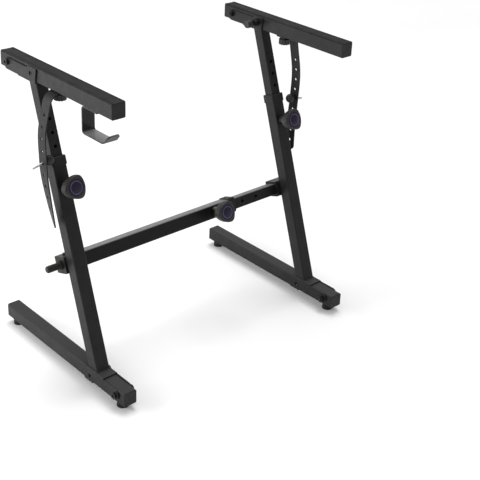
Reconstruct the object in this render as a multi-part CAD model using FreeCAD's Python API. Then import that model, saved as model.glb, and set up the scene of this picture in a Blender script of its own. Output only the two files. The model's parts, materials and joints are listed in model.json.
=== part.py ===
# Folding keyboard stand: two leaning legs, each with a floor tube and a support arm that fold
# about a bolt, joined by a telescoping crossbar. Millimetres, +Z up, the player stands on -Y.
# The origin is on the floor, half-way between the legs and half-way along the floor tubes.
import FreeCAD, Part
import math
import os
from FreeCAD import Vector

os.makedirs("parts", exist_ok=True)

# ---- tubes ---------------------------------------------------------------------------------
tube_size = 30.0            # floor tube, outer leg, arm and outer crossbar: square section
tube_wall = 1.5
tube_corner = 3.0           # outside corner radius of the big tubes
inner_size = 25.0           # sliding legs and sliding crossbar
inner_corner = 2.5
slide_clearance = 0.1       # between a collar's bore and the tube that slides in it

# ---- overall places ------------------------------------------------------------------------
leg_spacing = 585.0         # between the middle planes of the two legs
base_length = 430.0         # floor tube over its end caps
arm_length = 370.0          # arm over its end caps
arm_height = 621.5          # arm's middle line above the floor
arm_shift = 0.5             # arm's middle behind the middle of the floor tube
leg_angle = 71.5            # leg against the floor, leaning back as it rises
leg_foot_y = -111.5         # where the leg's middle line meets the top of the floor tube
pivot_inset = 28.0          # fold bolt to the near end of its arm or floor tube

# ---- feet and end caps ---------------------------------------------------------------------
foot_height = 14.0
foot_diameter = 24.0
foot_taper = 1.5            # foot is wider at the floor by this much on radius
foot_stem_diameter = 8.0
foot_stem_length = 6.0
foot_inset_front = 26.0     # foot's middle to the front end
foot_inset_rear = 20.0      # foot's middle to the rear end
cap_flange = 3.0
cap_spigot = 12.0
cap_wall = 2.0
cap_bevel = 0.7
fit_gap = 0.05              # pushed-in plastic and rubber pieces of one body

# ---- fold brackets -------------------------------------------------------------------------
plate = 2.5                 # bracket sheet
fold_gap = 0.3              # tube to bracket, each side
cheek_below = 8.5           # cheek's free edge past the tube's middle line
tab_below = 13.0            # raised tab's free edge past the tube's middle line
tab_start = 75.0            # from the fold bolt
tab_ramp = 4.0
tab_end = 104.0
web_end = 99.0
web_start = 39.0            # room for the tube's tail to swing past the web
tab_corner = 4.0
arc_middle = 1 - math.sqrt(0.5)     # of its radius: how far a square corner's arc cuts in
bend_radius = 2.0
lock_reach = 84.0           # fold bolt to lock hole
lock_window = 10.0          # hole in the cheek that faces the locked side

# ---- fold bolts and sleeves ----------------------------------------------------------------
bolt_diameter = 8.0
bolt_clearance = 0.1        # on radius
bolt_head_diameter = 13.0
bolt_head_height = 4.5
bolt_socket = 6.0           # across flats
bolt_socket_depth = 2.5
nut_across_flats = 13.0
nut_height = 7.0
bolt_stub = 2.0             # thread that shows past the nut
sleeve_diameter = 11.0

# ---- lock plungers -------------------------------------------------------------------------
plunger_diameter = 8.0
plunger_clearance = 0.1     # on radius
plunger_bush_thread = 10.0  # diameter where the bush passes its cheek
plunger_bush_flats = 15.0
plunger_stop_gap = 0.3
plunger_tip_chamfer = 1.2
plunger_travel = 5.5
long_bush = 12.0            # the upper right plunger stands well out
long_knob_diameter = 18.0
long_knob_length = 14.0
long_knob_round = 3.0
short_bush = 3.5            # the other three lie close to their cheeks
short_knob_diameter = 12.0
short_knob_length = 4.5
short_knob_round = 1.5

# ---- legs ----------------------------------------------------------------------------------
outer_leg_top = 436.0       # along the leg from the top of the floor tube
inner_leg_bottom = 155.0
leg_knob_below = 57.0       # clamp knob's axis to the outer leg's top
leg_hole_pitch = 27.0
leg_holes_above = 5         # holes above the clamp screw
leg_holes_below = 7
hole_diameter = 7.0
collar_wall = 2.0           # collar outside the big tube
collar_skirt = 14.0
collar_lip = 4.0
collar_liner = 31.0
collar_bevel = 1.0

# ---- crossbar ------------------------------------------------------------------------------
crossbar_station = 221.0    # along the leg
socket_wall = 2.5
socket_fit = 0.1
left_socket_length = 33.5
right_socket_length = 43.5
socket_overhang = 3.5       # past the leg's outer side
socket_end_plate = 3.0
crossbar_outer_end = 137.0  # right end of the big crossbar tube
crossbar_knob_inset = 54.5  # clamp knob's axis to that end
crossbar_hole_pitch = 41.5
crossbar_holes_each_way = 3
crossbar_tail = 20.0        # sliding tube past its last hole
end_plug_length = 22.0
socket_bolt_diameter = 6.0
socket_bolt_head = 10.0
socket_bolt_head_height = 4.0
socket_bolt_reach = 9.0
socket_bolt_inset = 12.0

# ---- clamp knobs ---------------------------------------------------------------------------
boss_diameter = 20.0
boss_height = 10.0
clamp_screw = 8.0
clamp_clearance = 0.1       # on radius
clamp_tip_bevel = 1.0       # lets the screw into a hole of the sliding tube
clamp_gap = 0.3             # released screw tip to the sliding tube, and hub to boss
hub_diameter = 22.0
knob_reach = 43.0           # knob's face above the tube's face
knob_head_height = 22.0
knob_lobe_circle = 14.8     # lobe centres from the axis
knob_lobe_radius = 10.7
knob_side_radius = 37.5
knob_edge_round = 2.5
knob_back_bevel = 1.0
badge_diameter = 34.0
badge_thickness = 1.2
badge_ring_diameter = 26.5
badge_ring_width = 1.2
badge_ring_height = 0.4

# ---- crossbar handle -----------------------------------------------------------------------
handle_diameter = 14.5
handle_length = 33.0
handle_flange_diameter = 19.0
handle_flange = 4.0
handle_end_round = 4.0
handle_screw = 8.0
handle_screw_reach = 20.0
handle_flutes = 8
handle_flute_radius = 1.6
handle_flute_depth = 0.6

# ---- arm pad, strap and its screw and pin --------------------------------------------------
pad_thickness = 1.5
pad_width = 29.0
pad_edge_round = 0.6
strap_width = 25.0
strap_thickness = 2.5
strap_inner_end = 13.0      # from the arm's middle plane toward the other leg
strap_corner_out = 26.6     # where the strap's top run meets its drop, outward
strap_bulge_out = 46.0      # strap's widest corner, outward
strap_bulge_drop = 128.0    # below the arm's underside
strap_tip_out = 27.5
strap_tip_drop = 275.5
strap_top_bend = 24.0
strap_hang_bend = 400.0
strap_tip_round = 10.0
strap_hole = 6.0
strap_hole_pitch = 24.0
strap_holes_above = 4
strap_holes_below = 4
left_pin_drop = 138.0       # strap pin below the arm's underside
right_pin_drop = 156.5
pin_diameter = 5.4
pin_out = 24.5              # shaft past the strap
pin_ball = 20.5
pin_flange_diameter = 9.0
pin_flange = 1.0
pin_gap = 0.5
pin_tip_bevel = 1.2
thumb_screw_diameter = 6.0
thumb_neck_diameter = 13.0
thumb_neck = 4.5
thumb_head_diameter = 25.0
thumb_head = 11.5
thumb_screw_reach = 9.0
thumb_scallops = 12
thumb_scallop_radius = 2.2
thumb_scallop_depth = 1.4

# ---- headphone hook ------------------------------------------------------------------------
hook_width = 27.0
hook_sheet = 3.0
hook_inset = 94.5           # back plate's middle to the arm's front end
hook_flange = 46.0
hook_drop = 53.5            # shelf's middle below the arm's underside
hook_shelf = 66.0
hook_lip_forward = 15.0
hook_lip_rise = 18.0
hook_bend = 6.0
hook_lip_bend = 16.0
hook_tip_round = 8.0
rivet_diameter = 9.0
rivet_height = 2.2
rivet_round = 1.5
rivet_spacing = 18.0

# ---- worked-out places ---------------------------------------------------------------------
lean = 90.0 - leg_angle
leg_knob_station = outer_leg_top - leg_knob_below
crossbar_knob_x = crossbar_outer_end - crossbar_knob_inset
half_tube = tube_size / 2
half_inner = inner_size / 2
base_top = foot_height + tube_size
base_middle = foot_height + half_tube
arm_bottom = arm_height - half_tube
cheek_inside = half_tube + fold_gap
cheek_outside = cheek_inside + plate
crossbar_back = half_tube + socket_wall + socket_fit + half_tube
leg_x = {"left": -leg_spacing / 2, "right": leg_spacing / 2}
outward = {"left": -1, "right": 1}
upper_plunger_side = {"left": 1, "right": -1}
lower_plunger_side = {"left": 1, "right": 1}
pin_drop = {"left": left_pin_drop, "right": right_pin_drop}
arm_pivot = Vector(0, arm_length / 2 + arm_shift - pivot_inset, arm_height)
base_pivot = Vector(0, pivot_inset - base_length / 2, base_middle)
origin = Vector(0, 0, 0)
x_axis = Vector(1, 0, 0)
y_axis = Vector(0, 1, 0)
z_axis = Vector(0, 0, 1)


def save(name, *solids):
    """Write one named sub-part, a single solid or a group of like ones."""
    shape = solids[0] if len(solids) == 1 else Part.makeCompound(list(solids))
    shape.exportStep("parts/" + name + ".step")


def moved(shape, x=0.0, y=0.0, z=0.0):
    copy = shape.copy()
    copy.translate(Vector(x, y, z))
    return copy


def turned(shape, axis, angle, centre=origin):
    copy = shape.copy()
    copy.rotate(centre, axis, angle)
    return copy


def on_leg(shape, side):
    """Take a shape from the leg's own frame, +Z up the leg, to its place in the stand."""
    return moved(turned(shape, x_axis, -lean), leg_x[side], leg_foot_y, base_top)


def rod(diameter, length, start, direction):
    return Part.makeCylinder(diameter / 2, length, start, direction)


def bar(width, depth, length, corner):
    """Square or oblong bar up +Z from the origin, its four long edges rounded."""
    block = Part.makeBox(width, depth, length, Vector(-width / 2, -depth / 2, 0))
    uprights = [edge for edge in block.Edges if abs(edge.tangentAt(0).z) > 0.9]
    return block.makeFillet(corner, uprights)


def square_tube(size, wall, length, corner):
    inside = size - 2 * wall
    bore = bar(inside, inside, length, corner - wall)
    return bar(size, size, length, corner).cut(bore)


def along_y(shape, start_y, height):
    """Lay an upright tube down along +Y."""
    return moved(turned(shape, x_axis, -90), 0, start_y, height)


def along_x(shape):
    return turned(shape, y_axis, 90)


def hexagon(across_flats, height, start, direction):
    """Hexagonal prism that stands on start and points along direction."""
    radius = across_flats / math.sqrt(3)
    corners = [Vector(radius * math.cos(k * math.pi / 3), radius * math.sin(k * math.pi / 3), 0)
               for k in range(7)]
    prism = Part.Face(Part.makePolygon(corners)).extrude(Vector(0, 0, height))
    turn = FreeCAD.Rotation(z_axis, direction)
    prism.Placement = FreeCAD.Placement(start, turn)
    return prism


def unit(vector):
    return vector.multiply(1 / vector.Length)


def bent_edges(points, radii):
    """Straight runs through the points, each inner corner rounded by a tangent arc."""
    edges = []
    last = points[0]
    for index in range(1, len(points) - 1):
        corner = points[index]
        radius = radii[index - 1]
        back = unit(points[index - 1] - corner)
        ahead = unit(points[index + 1] - corner)
        half_angle = back.getAngle(ahead) / 2
        run = radius / math.tan(half_angle)
        bisector = unit(back + ahead)
        middle = corner + bisector * (radius / math.sin(half_angle) - radius)
        start = corner + back * run
        end = corner + ahead * run
        edges.append(Part.makeLine(last, start))
        edges.append(Part.Arc(start, middle, end).toShape())
        last = end
    edges.append(Part.makeLine(last, points[-1]))
    return edges


def offset_points(points, normal, distance):
    """Move a run of points sideways in the plane that the normal is square to."""
    sides = []
    for first, second in zip(points, points[1:]):
        sides.append(unit(normal.cross(second - first)))
    result = [points[0] + sides[0] * distance]
    for index in range(1, len(points) - 1):
        blend = unit(sides[index - 1] + sides[index])
        stretch = 1 / blend.dot(sides[index])
        result.append(points[index] + blend * (distance * stretch))
    result.append(points[-1] + sides[-1] * distance)
    return result


def ribbon(points, radii, normal, thickness):
    """Flat face of even thickness along a bent line, lying square to the normal."""
    paths = []
    for distance in (thickness / 2, -thickness / 2):
        side_radii = []
        for index, radius in enumerate(radii):
            before = points[index + 1] - points[index]
            after = points[index + 2] - points[index + 1]
            turn = normal.dot(before.cross(after))
            side_radii.append(radius - distance if turn > 0 else radius + distance)
        paths.append(bent_edges(offset_points(points, normal, distance), side_radii))
    ends = [Part.makeLine(paths[0][0].Vertexes[0].Point, paths[1][0].Vertexes[0].Point),
            Part.makeLine(paths[0][-1].Vertexes[-1].Point, paths[1][-1].Vertexes[-1].Point)]
    edges = Part.sortEdges(paths[0] + paths[1] + ends)[0]
    return Part.Face(Part.Wire(edges))


# ---- floor tube and arm --------------------------------------------------------------------
def cross_sleeves(lock_y, pivot_y, height, x):
    """Steel sleeves right through a tube: one for the fold bolt and one for the lock pin."""
    sleeves = []
    for y, bore in ((pivot_y, bolt_diameter + 2 * bolt_clearance),
                    (lock_y, plunger_diameter + 2 * plunger_clearance)):
        start = Vector(x - half_tube, y, height)
        sleeves.append(rod(sleeve_diameter, tube_size, start, x_axis).cut(
            rod(bore, tube_size, start, x_axis)))
    return sleeves


def drilled_across(tube, stations, height, x, diameter):
    for y in stations:
        start = Vector(x - tube_size, y, height)
        tube = tube.cut(rod(diameter, 2 * tube_size, start, x_axis))
    return tube


def end_cap(size, wall):
    """Plastic cap, flange outward on +Z and a hollow spigot down into the tube."""
    inside = size - 2 * wall - 2 * fit_gap
    flange = bar(size, size, cap_flange, tube_corner)
    rim = [edge for edge in flange.Edges if abs(edge.CenterOfMass.z - cap_flange) < 0.01]
    flange = flange.makeChamfer(cap_bevel, rim)
    spigot = Part.makeBox(inside, inside, cap_spigot, Vector(-inside / 2, -inside / 2, 0))
    uprights = [edge for edge in spigot.Edges if abs(edge.tangentAt(0).z) > 0.9]
    spigot = spigot.makeChamfer(tube_corner - wall, uprights)
    hollow = inside - 2 * cap_wall
    well = Part.makeBox(hollow, hollow, cap_spigot, Vector(-hollow / 2, -hollow / 2, 0))
    return flange.fuse(moved(spigot.cut(well), z=-cap_spigot))


def end_caps(length, middle_y, height, x):
    rear = along_y(end_cap(tube_size, tube_wall), middle_y + length / 2 - cap_flange, height)
    front = turned(end_cap(tube_size, tube_wall), x_axis, 90)
    front = moved(front, 0, middle_y - length / 2 + cap_flange, height)
    return [moved(rear, x), moved(front, x)]


def foot(x, y):
    """Rubber foot with a stem that is pushed through the tube's lower wall."""
    radius = foot_diameter / 2
    profile = [Vector(0, 0, 0), Vector(radius, 0, 0), Vector(radius - foot_taper, 0, foot_height),
               Vector(0, 0, foot_height), Vector(0, 0, 0)]
    pad = Part.Face(Part.makePolygon(profile)).revolve(origin, z_axis, 360)
    stem = rod(foot_stem_diameter, foot_stem_length + foot_height / 2,
               Vector(0, 0, foot_height / 2), z_axis)
    return moved(pad.fuse(stem), x, y, 0)


def build_base(side):
    x = leg_x[side]
    front = -base_length / 2
    rear = base_length / 2
    lock_y = base_pivot.y + lock_reach
    tube = square_tube(tube_size, tube_wall, base_length - 2 * cap_flange, tube_corner)
    tube = moved(along_y(tube, front + cap_flange, base_middle), x)
    tube = drilled_across(tube, (base_pivot.y, lock_y), base_middle, x, sleeve_diameter)
    feet = []
    for y in (front + foot_inset_front, rear - foot_inset_rear):
        hole = rod(foot_stem_diameter + 2 * fit_gap, foot_stem_length,
                   Vector(x, y, foot_height - tube_wall), z_axis)
        tube = tube.cut(hole)
        feet.append(foot(x, y))
    save(side + "_base_tube", tube)
    save(side + "_base_feet", *feet)
    save(side + "_base_end_caps", *end_caps(base_length, 0, base_middle, x))
    save(side + "_base_sleeves", *cross_sleeves(lock_y, base_pivot.y, base_middle, x))


def build_arm(side):
    x = leg_x[side]
    front = arm_shift - arm_length / 2
    lock_y = arm_pivot.y - lock_reach
    tube = square_tube(tube_size, tube_wall, arm_length - 2 * cap_flange, tube_corner)
    tube = moved(along_y(tube, front + cap_flange, arm_height), x)
    tube = drilled_across(tube, (arm_pivot.y, lock_y), arm_height, x, sleeve_diameter)
    stud_hole = rod(thumb_screw_diameter + 2 * clamp_clearance, 3 * tube_wall,
                    Vector(x, arm_shift, arm_bottom - tube_wall), z_axis)
    pad = bar(pad_width, arm_length, pad_thickness, pad_edge_round)
    top_rim = [edge for edge in pad.Edges
               if abs(edge.CenterOfMass.z - pad_thickness) < 0.01]
    pad = pad.makeFillet(pad_edge_round, top_rim)
    save(side + "_arm_tube", tube.cut(stud_hole))
    save(side + "_arm_pad", moved(pad, x, arm_shift, arm_height + half_tube))
    save(side + "_arm_end_caps", *end_caps(arm_length, arm_shift, arm_height, x))
    save(side + "_arm_sleeves", *cross_sleeves(lock_y, arm_pivot.y, arm_height, x))


# ---- fold bracket, its bolt and its lock plunger -------------------------------------------
def cheek_outline():
    """Side plate in the Y-Z plane: fold bolt at the origin, +Y to the lock, +Z to the web."""
    end_radius = (cheek_below + cheek_inside) / 2
    end_middle = (cheek_inside - cheek_below) / 2
    tab_slope = (tab_end - web_end) / (tab_below + cheek_inside)
    low_corner = Vector(0, tab_end - tab_corner * tab_slope, -tab_below + tab_corner)
    points = [Vector(0, 0, -cheek_below), Vector(0, tab_start - tab_ramp, -cheek_below),
              Vector(0, tab_start, -tab_below), Vector(0, tab_end - tab_corner, -tab_below)]
    edges = [Part.makeLine(first, second) for first, second in zip(points, points[1:])]
    cut_in = tab_corner * arc_middle
    bow = Vector(0, tab_end - cut_in, -tab_below + cut_in)
    edges.append(Part.Arc(points[-1], bow, low_corner).toShape())
    edges.append(Part.makeLine(low_corner, Vector(0, web_end, cheek_inside)))
    edges.append(Part.makeLine(Vector(0, web_end, cheek_inside), Vector(0, 0, cheek_inside)))
    edges.append(Part.Arc(Vector(0, 0, cheek_inside), Vector(0, -end_radius, end_middle),
                          Vector(0, 0, -cheek_below)).toShape())
    return Part.Face(Part.Wire(edges))


def fold_bracket(plunger_side):
    """Channel that straddles a tube: two cheeks and, past the tube's tail, a web."""
    width = 2 * cheek_outside
    channel = Part.makeBox(width, web_end - web_start, plate,
                           Vector(-cheek_outside, web_start, cheek_inside))
    bends = [edge for edge in channel.Edges
             if abs(abs(edge.CenterOfMass.x) - cheek_outside) < 0.01
             and abs(edge.CenterOfMass.z - cheek_outside) < 0.01]
    channel = channel.makeFillet(bend_radius, bends)
    for start in (-cheek_outside, cheek_inside):
        channel = channel.fuse(moved(cheek_outline().extrude(Vector(plate, 0, 0)), start))
    channel = channel.removeSplitter()
    pivot_hole = rod(bolt_diameter + 2 * bolt_clearance, width,
                     Vector(-cheek_outside, 0, 0), x_axis)
    window = rod(lock_window, cheek_outside, Vector(0, lock_reach, 0), x_axis * -plunger_side)
    thread = rod(plunger_bush_thread, cheek_outside, Vector(0, lock_reach, 0),
                 x_axis * plunger_side)
    return channel.cut(pivot_hole).cut(window).cut(thread)


def fold_bolt(head_side):
    """Socket screw across both cheeks with its lock nut."""
    away = x_axis * head_side
    inward = x_axis * -head_side
    head_seat = away * cheek_outside
    nut_seat = inward * cheek_outside
    shank_length = 2 * cheek_outside + nut_height + bolt_stub
    shank = rod(bolt_diameter, shank_length, head_seat, inward)
    head = rod(bolt_head_diameter, bolt_head_height, head_seat, away)
    socket = hexagon(bolt_socket, bolt_socket_depth,
                     away * (cheek_outside + bolt_head_height - bolt_socket_depth), away)
    nut = hexagon(nut_across_flats, nut_height, nut_seat, inward)
    nut = nut.cut(rod(bolt_diameter, nut_height, nut_seat, inward))
    return [shank.fuse(head).cut(socket), nut]


def plunger_bush(side, length):
    """Threaded bush in the cheek, hexagonal outside, that guides the lock pin."""
    away = x_axis * side
    at = Vector(0, lock_reach, 0)
    body = hexagon(plunger_bush_flats, length, at + away * cheek_outside, away)
    thread = rod(plunger_bush_thread, plate, at + away * cheek_inside, away)
    bore = rod(plunger_diameter + 2 * plunger_clearance, cheek_outside + length,
               at + away * half_tube, away)
    return body.fuse(thread).cut(bore)


def plunger_pin(side, knob_start, knob_diameter, knob_length, knob_round):
    """Lock pin with its pull knob, drawn out: its tip is just clear of the tube."""
    away = x_axis * side
    at = Vector(0, lock_reach, 0)
    tip = cheek_inside
    shaft = rod(plunger_diameter, knob_start - tip, at + away * tip, away)
    tip_edges = [edge for edge in shaft.Edges
                 if abs(abs(edge.CenterOfMass.x) - tip) < 0.01]
    shaft = shaft.makeChamfer(plunger_tip_chamfer, tip_edges)
    knob = rod(knob_diameter, knob_length, at + away * knob_start, away)
    end_edges = [edge for edge in knob.Edges
                 if abs(abs(edge.CenterOfMass.x) - knob_start - knob_length) < 0.01]
    knob = knob.makeFillet(knob_round, end_edges)
    return shaft.fuse(knob)


def long_plunger(side):
    """Bush and pin of the plunger that stands well out."""
    knob_start = cheek_outside + long_bush + plunger_travel + plunger_stop_gap
    pin = plunger_pin(side, knob_start, long_knob_diameter, long_knob_length, long_knob_round)
    return plunger_bush(side, long_bush), pin


def short_plunger(side):
    """Bush and pin of a plunger that lies close to its cheek."""
    knob_start = cheek_outside + short_bush + plunger_travel + plunger_stop_gap
    pin = plunger_pin(side, knob_start, short_knob_diameter, short_knob_length,
                      short_knob_round)
    return plunger_bush(side, short_bush), pin


def lower_place(shape, side):
    """The lower bracket's web lies on top of the floor tube."""
    return moved(shape, leg_x[side], base_pivot.y, base_pivot.z)


def upper_place(shape, side):
    """The upper bracket is the same part rolled over: its web lies under the arm."""
    return moved(turned(shape, x_axis, 180), leg_x[side], arm_pivot.y, arm_pivot.z)


def build_brackets(side):
    for name, place, plunger_side in (("lower", lower_place, lower_plunger_side[side]),
                                      ("upper", upper_place, upper_plunger_side[side])):
        prefix = side + "_" + name + "_"
        plunger = long_plunger if prefix == "right_upper_" else short_plunger
        bush, pin = plunger(plunger_side)
        save(prefix + "bracket", place(fold_bracket(plunger_side), side))
        save(prefix + "pivot_bolt", *[place(piece, side) for piece in fold_bolt(outward[side])])
        save(prefix + "plunger_bush", place(bush, side))
        save(prefix + "plunger", place(pin, side))


# ---- telescoping tubes ---------------------------------------------------------------------
def clamp_boss():
    """Threaded boss on a tube's front face, in the leg's own frame, without its hole."""
    return rod(boss_diameter, boss_height, Vector(0, -half_tube, 0), -y_axis)


def clamp_hole():
    length = boss_height + 2 * tube_wall
    return rod(clamp_screw + 2 * clamp_clearance, length,
               Vector(0, -half_tube + 2 * tube_wall, 0), -y_axis)


def collar():
    """Plastic collar, its lip on top of the big tube, the tube's end at the origin."""
    bore_size = inner_size + 2 * slide_clearance
    outside = tube_size + 2 * collar_wall
    liner_size = tube_size - 2 * tube_wall
    cap = moved(bar(outside, outside, collar_skirt + collar_lip, tube_corner + collar_wall),
                z=-collar_skirt)
    rims = [edge for edge in cap.Edges if abs(edge.CenterOfMass.z - collar_lip) < 0.01]
    cap = cap.makeChamfer(collar_bevel, rims)
    cap = cap.cut(moved(bar(tube_size, tube_size, collar_skirt, tube_corner), z=-collar_skirt))
    liner = moved(bar(liner_size, liner_size, collar_liner, tube_corner - tube_wall),
                  z=-collar_liner)
    bore = moved(bar(bore_size, bore_size, collar_liner + collar_lip, inner_corner),
                 z=-collar_liner)
    return cap.fuse(liner).cut(bore)


def build_outer_leg(side):
    """Big leg tube, cut level at its foot where it is welded to the lower bracket."""
    reach = tube_size * 2
    tube = square_tube(tube_size, tube_wall, outer_leg_top + reach, tube_corner)
    tube = moved(tube, z=-reach)
    tube = tube.fuse(moved(clamp_boss(), z=leg_knob_station))
    tube = tube.cut(moved(clamp_hole(), z=leg_knob_station))
    tube = on_leg(tube, side)
    web_top = base_pivot.z + cheek_outside
    below = Part.makeBox(4 * reach, 4 * reach, 2 * reach,
                         Vector(leg_x[side] - 2 * reach, leg_foot_y - 2 * reach,
                                web_top - 2 * reach))
    save(side + "_outer_leg", tube.cut(below))
    save(side + "_leg_collar", on_leg(moved(collar(), z=outer_leg_top), side))


def build_inner_leg(side):
    """Sliding leg tube with its row of holes, cut level under the upper bracket."""
    reach = tube_size * 2
    top = (arm_height - base_top) / math.sin(math.radians(leg_angle)) + reach
    tube = square_tube(inner_size, tube_wall, top - inner_leg_bottom, inner_corner)
    tube = moved(tube, z=inner_leg_bottom)
    for step in range(-leg_holes_below, leg_holes_above + 1):
        station = leg_knob_station + step * leg_hole_pitch
        tube = tube.cut(rod(hole_diameter, half_inner, Vector(0, 0, station), -y_axis))
    tube = on_leg(tube, side)
    web_bottom = arm_pivot.z - cheek_outside
    above = Part.makeBox(4 * reach, 8 * reach, 4 * reach,
                         Vector(leg_x[side] - 2 * reach, -4 * reach, web_bottom))
    save(side + "_inner_leg", tube.cut(above))


def on_crossbar(shape, x):
    """Shapes made round the origin with their front on -Y go to the crossbar's line."""
    placed = turned(moved(shape, 0, crossbar_back, crossbar_station), x_axis, -lean)
    return moved(placed, x, leg_foot_y, base_top)


def crossbar_socket(inner, length):
    """Box socket welded behind a leg, open toward +X, its closed end at the origin."""
    outside = tube_size + 2 * (socket_wall + socket_fit)
    opening = inner + 2 * socket_fit
    block = along_x(bar(outside, outside, length, tube_corner))
    hollow = along_x(bar(opening, opening, length, inner_corner))
    return block.cut(moved(hollow, socket_end_plate))


def socket_bolt(direction):
    """Hexagon bolt that keeps a crossbar tube in its socket."""
    seat = tube_size / 2 + socket_fit + socket_wall
    shank = rod(socket_bolt_diameter, socket_bolt_reach, Vector(0, 0, direction * seat),
                z_axis * -direction)
    head = hexagon(socket_bolt_head, socket_bolt_head_height, Vector(0, 0, direction * seat),
                   z_axis * direction)
    return shank.fuse(head)


def bolt_hole(direction):
    seat = tube_size / 2 + socket_fit + socket_wall
    return rod(socket_bolt_diameter + 2 * fit_gap, socket_bolt_reach + fit_gap,
               Vector(0, 0, direction * seat), z_axis * -direction)


def build_crossbar():
    socket_end = leg_spacing / 2 + half_tube + socket_overhang
    plate_inside = socket_end - socket_end_plate
    outer_start = -plate_inside
    bolt_x = plate_inside - socket_bolt_inset
    left_hole = on_crossbar(bolt_hole(1), -bolt_x)
    right_hole = on_crossbar(bolt_hole(-1), bolt_x)

    outer = along_x(square_tube(tube_size, tube_wall, crossbar_outer_end - outer_start,
                                tube_corner))
    outer = moved(outer, outer_start)
    outer = outer.fuse(moved(clamp_boss(), crossbar_knob_x))
    outer = outer.cut(moved(clamp_hole(), crossbar_knob_x))
    save("crossbar_outer_tube", on_crossbar(outer, 0).cut(left_hole))

    inner_start = (crossbar_knob_x - crossbar_holes_each_way * crossbar_hole_pitch
                   - crossbar_tail)
    inner = along_x(square_tube(inner_size, tube_wall, plate_inside - inner_start,
                                inner_corner))
    inner = moved(inner, inner_start)
    for step in range(-crossbar_holes_each_way, crossbar_holes_each_way + 1):
        station = crossbar_knob_x + step * crossbar_hole_pitch
        inner = inner.cut(rod(hole_diameter, half_inner, Vector(station, 0, 0), -y_axis))
    save("crossbar_inner_tube", on_crossbar(inner, 0).cut(right_hole))

    ring = along_x(collar())
    save("crossbar_collar", on_crossbar(moved(ring, crossbar_outer_end), 0))

    screw_hole = rod(handle_screw + 2 * clamp_clearance, socket_end_plate, origin, x_axis)
    left = crossbar_socket(tube_size, left_socket_length).cut(screw_hole)
    save("left_crossbar_socket", on_crossbar(left, -socket_end).cut(left_hole))
    right = turned(crossbar_socket(inner_size, right_socket_length), z_axis, 180)
    save("right_crossbar_socket", on_crossbar(right, socket_end).cut(right_hole))

    plug_size = tube_size - 2 * tube_wall - 2 * fit_gap
    plug = along_x(bar(plug_size, plug_size, end_plug_length, tube_corner - tube_wall))
    plug = plug.cut(rod(handle_screw + 2 * clamp_clearance, end_plug_length, origin, x_axis))
    save("crossbar_end_plug", on_crossbar(plug, outer_start).cut(left_hole))

    save("left_socket_bolt", on_crossbar(socket_bolt(1), -bolt_x))
    save("right_socket_bolt", on_crossbar(socket_bolt(-1), bolt_x))
    save("crossbar_handle", on_crossbar(handle(), -socket_end))


def handle():
    """Fluted barrel handle with its screw; its seat on the end plate is at the origin."""
    gap = clamp_gap
    screw = rod(handle_screw, handle_screw_reach + gap, Vector(-gap, 0, 0), x_axis)
    flange = rod(handle_flange_diameter, handle_flange, Vector(-gap, 0, 0), -x_axis)
    grip = rod(handle_diameter, handle_length, Vector(-gap, 0, 0), -x_axis)
    ends = [edge for edge in grip.Edges
            if abs(edge.CenterOfMass.x + gap + handle_length) < 0.01]
    grip = grip.makeFillet(handle_end_round, ends)
    flute_length = handle_length - 2 * handle_flange - handle_end_round
    for turn in range(handle_flutes):
        angle = 2 * math.pi * turn / handle_flutes
        reach = handle_diameter / 2 + handle_flute_radius - handle_flute_depth
        start = Vector(-gap - 2 * handle_flange, reach * math.cos(angle),
                       reach * math.sin(angle))
        grip = grip.cut(rod(2 * handle_flute_radius, flute_length, start, -x_axis))
    return screw.fuse(flange).fuse(grip)


# ---- clamp knob ----------------------------------------------------------------------------
def lobed_outline():
    """Rounded triangle: three lobes joined by long bowed sides, all arcs tangent."""
    reach = knob_side_radius - knob_lobe_radius
    offset = math.sqrt(reach ** 2 - 0.75 * knob_lobe_circle ** 2) - knob_lobe_circle / 2
    edges = []
    for lobe in range(3):
        lobe_angle = math.pi + lobe * 2 * math.pi / 3
        side_angle = lobe_angle + math.pi / 3
        centre = Vector(knob_lobe_circle * math.cos(lobe_angle),
                        knob_lobe_circle * math.sin(lobe_angle), 0)
        joints = []
        for side in (-1, 1):
            direction = lobe_angle + side * math.pi / 3
            side_centre = Vector(-offset * math.cos(direction), -offset * math.sin(direction), 0)
            joints.append(side_centre + unit(centre - side_centre) * knob_side_radius)
        tip = centre + unit(Vector(centre)) * knob_lobe_radius
        edges.append(Part.Arc(joints[0], tip, joints[1]).toShape())
        side_centre = Vector(-offset * math.cos(side_angle), -offset * math.sin(side_angle), 0)
        bow = side_centre + Vector(math.cos(side_angle), math.sin(side_angle),
                                   0) * knob_side_radius
        next_angle = lobe_angle + 2 * math.pi / 3
        next_centre = Vector(knob_lobe_circle * math.cos(next_angle),
                             knob_lobe_circle * math.sin(next_angle), 0)
        next_joint = side_centre + unit(next_centre - side_centre) * knob_side_radius
        edges.append(Part.Arc(joints[1], bow, next_joint).toShape())
    return Part.Face(Part.Wire(edges))


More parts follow.
